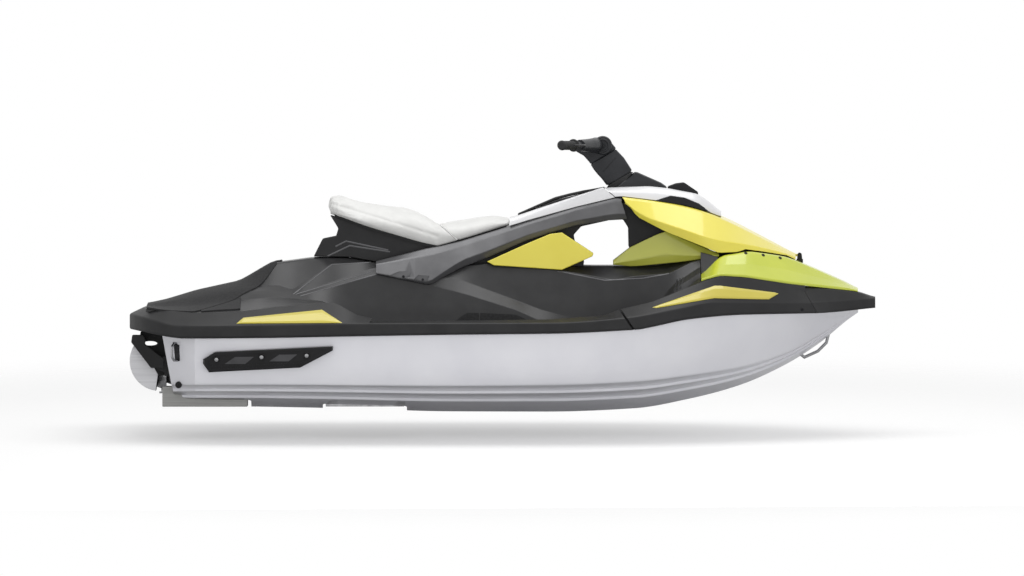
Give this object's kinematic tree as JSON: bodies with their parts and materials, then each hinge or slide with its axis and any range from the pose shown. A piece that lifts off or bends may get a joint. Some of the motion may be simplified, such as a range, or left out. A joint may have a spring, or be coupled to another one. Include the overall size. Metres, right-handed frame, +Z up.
{
  "type": "personal watercraft",
  "caption": "Compact sit-down personal watercraft: vee hull, footwells, stepped saddle seat, arched console, swept handlebar, lifting hood, jet pump with steering nozzle, reverse bucket.",
  "frame": {"origin": "amidships on the centreline, at the waterline of the empty craft", "axes": "+X to the bow, +Y to port, +Z up"},
  "size_m": [3.1433, 1.1304, 1.1639],
  "materials": {
    "arm_graphite": "moulded",
    "bar_black": "moulded",
    "base_charcoal": "moulded",
    "bucket_alloy": "cast",
    "bumper_black": "moulded",
    "column_black": "moulded",
    "console_black": "moulded",
    "deck_plastic": "moulded",
    "engine_alloy": "cast",
    "eye_steel": "stainless",
    "fairing_lime": "moulded",
    "grate_alloy": "cast",
    "grip_rubber": "moulded rubber",
    "gunwale_plastic": "moulded",
    "handle_black": "moulded",
    "hinge_black": "moulded",
    "hull_gelcoat": "glossy gelcoat",
    "impeller_steel": "stainless",
    "lever_metal": "polished",
    "lid_charcoal": "moulded",
    "mat_foam": "ribbed foam matting",
    "nozzle_alloy": "cast",
    "panel_yellow": "moulded",
    "pump_alloy": "painted casting",
    "ride_plate_alloy": "cast, bare",
    "seat_vinyl": "sewn marine vinyl",
    "splash_lime": "moulded",
    "sponson_black": "moulded",
    "step_black": "moulded",
    "trim_white": "moulded",
    "vent_black": "moulded"
  },
  "bodies": {
    "craft": {"hull": "hull_gelcoat", "intake_tunnel": "hull_gelcoat", "deck": "deck_plastic", "engine_block": "engine_alloy", "gunwale_rear": "gunwale_plastic", "gunwale_side_left": "gunwale_plastic", "gunwale_side_right": "gunwale_plastic", "gunwale_front_left": "gunwale_plastic", "gunwale_front_right": "gunwale_plastic", "rear_insert_left": "panel_yellow", "rear_insert_right": "panel_yellow", "front_insert_left": "panel_yellow", "front_insert_right": "panel_yellow", "bow_bumper": "bumper_black", "bow_fairing": "fairing_lime", "hood_hinge": "hinge_black", "splash_panel_left": "splash_lime", "splash_panel_right": "splash_lime", "console_core": "console_black", "seat_rear": "seat_vinyl", "seat_front": "seat_vinyl", "side_arm_left": "arm_graphite", "side_arm_right": "arm_graphite", "console_trim_left": "trim_white", "console_trim_right": "trim_white", "knee_panel_left": "panel_yellow", "knee_panel_right": "panel_yellow", "seat_base": "base_charcoal", "grab_handle": "handle_black", "steering_cowl": "console_black", "pump_housing": "pump_alloy", "ride_plate": "ride_plate_alloy", "intake_grate": "grate_alloy", "sponson_left": "sponson_black", "sponson_right": "sponson_black", "bow_eye": "eye_steel", "stern_eye_left": "eye_steel", "stern_eye_right": "eye_steel", "step_bracket": "step_black", "rear_mat": "mat_foam", "foot_mat_left": "mat_foam", "foot_mat_right": "mat_foam", "deck_pedestal": "deck_plastic", "deck_bow": "deck_plastic"},
    "hood": {"hood": "panel_yellow", "hood_crown": "trim_white", "hood_vent": "vent_black"},
    "glovebox": {"glovebox_lid": "lid_charcoal"},
    "steering": {"steering_column": "column_black", "handlebar": "bar_black", "grip_left": "grip_rubber", "grip_right": "grip_rubber", "lever_left": "lever_metal", "lever_right": "lever_metal"},
    "nozzle": {"steering_nozzle": "nozzle_alloy"},
    "bucket": {"reverse_bucket": "bucket_alloy"},
    "impeller": {"impeller": "impeller_steel"},
    "step": {"boarding_step": "step_black"}
  },
  "joints": [
    {"name": "steering_turn", "type": "hinge", "parent": "craft", "child": "steering", "pos_m": [0.49455, 0, 0.7839], "axis": [-0.515, 0, 0.8572], "range_deg": [-24, 24]},
    {"name": "nozzle_turn", "type": "hinge", "parent": "craft", "child": "nozzle", "pos_m": [-1.43184, 0, -0.0302], "axis": [0, 0, 1], "range_deg": [-22, 22]},
    {"name": "bucket_tilt", "type": "hinge", "parent": "craft", "child": "bucket", "pos_m": [-1.44566, 0, 0.01923], "axis": [0, 1, 0], "range_deg": [0, 78]},
    {"name": "impeller_spin", "type": "hinge", "parent": "craft", "child": "impeller", "pos_m": [-1.099, 0, -0.0302], "axis": [1, 0, 0], "continuous": true},
    {"name": "hood_lift", "type": "hinge", "parent": "craft", "child": "hood", "pos_m": [1.25129, 0, 0.46524], "axis": [0, 1, 0], "range_deg": [0, 55]},
    {"name": "glovebox_lift", "type": "hinge", "parent": "craft", "child": "glovebox", "pos_m": [0.39564, 0, 0.73352], "axis": [0, 1, 0], "range_deg": [0, 50]},
    {"name": "step_fold", "type": "hinge", "parent": "craft", "child": "step", "pos_m": [-1.45382, 0, 0.00818], "axis": [0, -1, 0], "range_deg": [0, 125], "stiffness_Nm_per_rad": 0.8, "springref_deg": -57.3}
  ],
  "couplings": [
    {"joint": "nozzle_turn", "follows": "steering_turn", "ratio": -0.9}
  ]
}
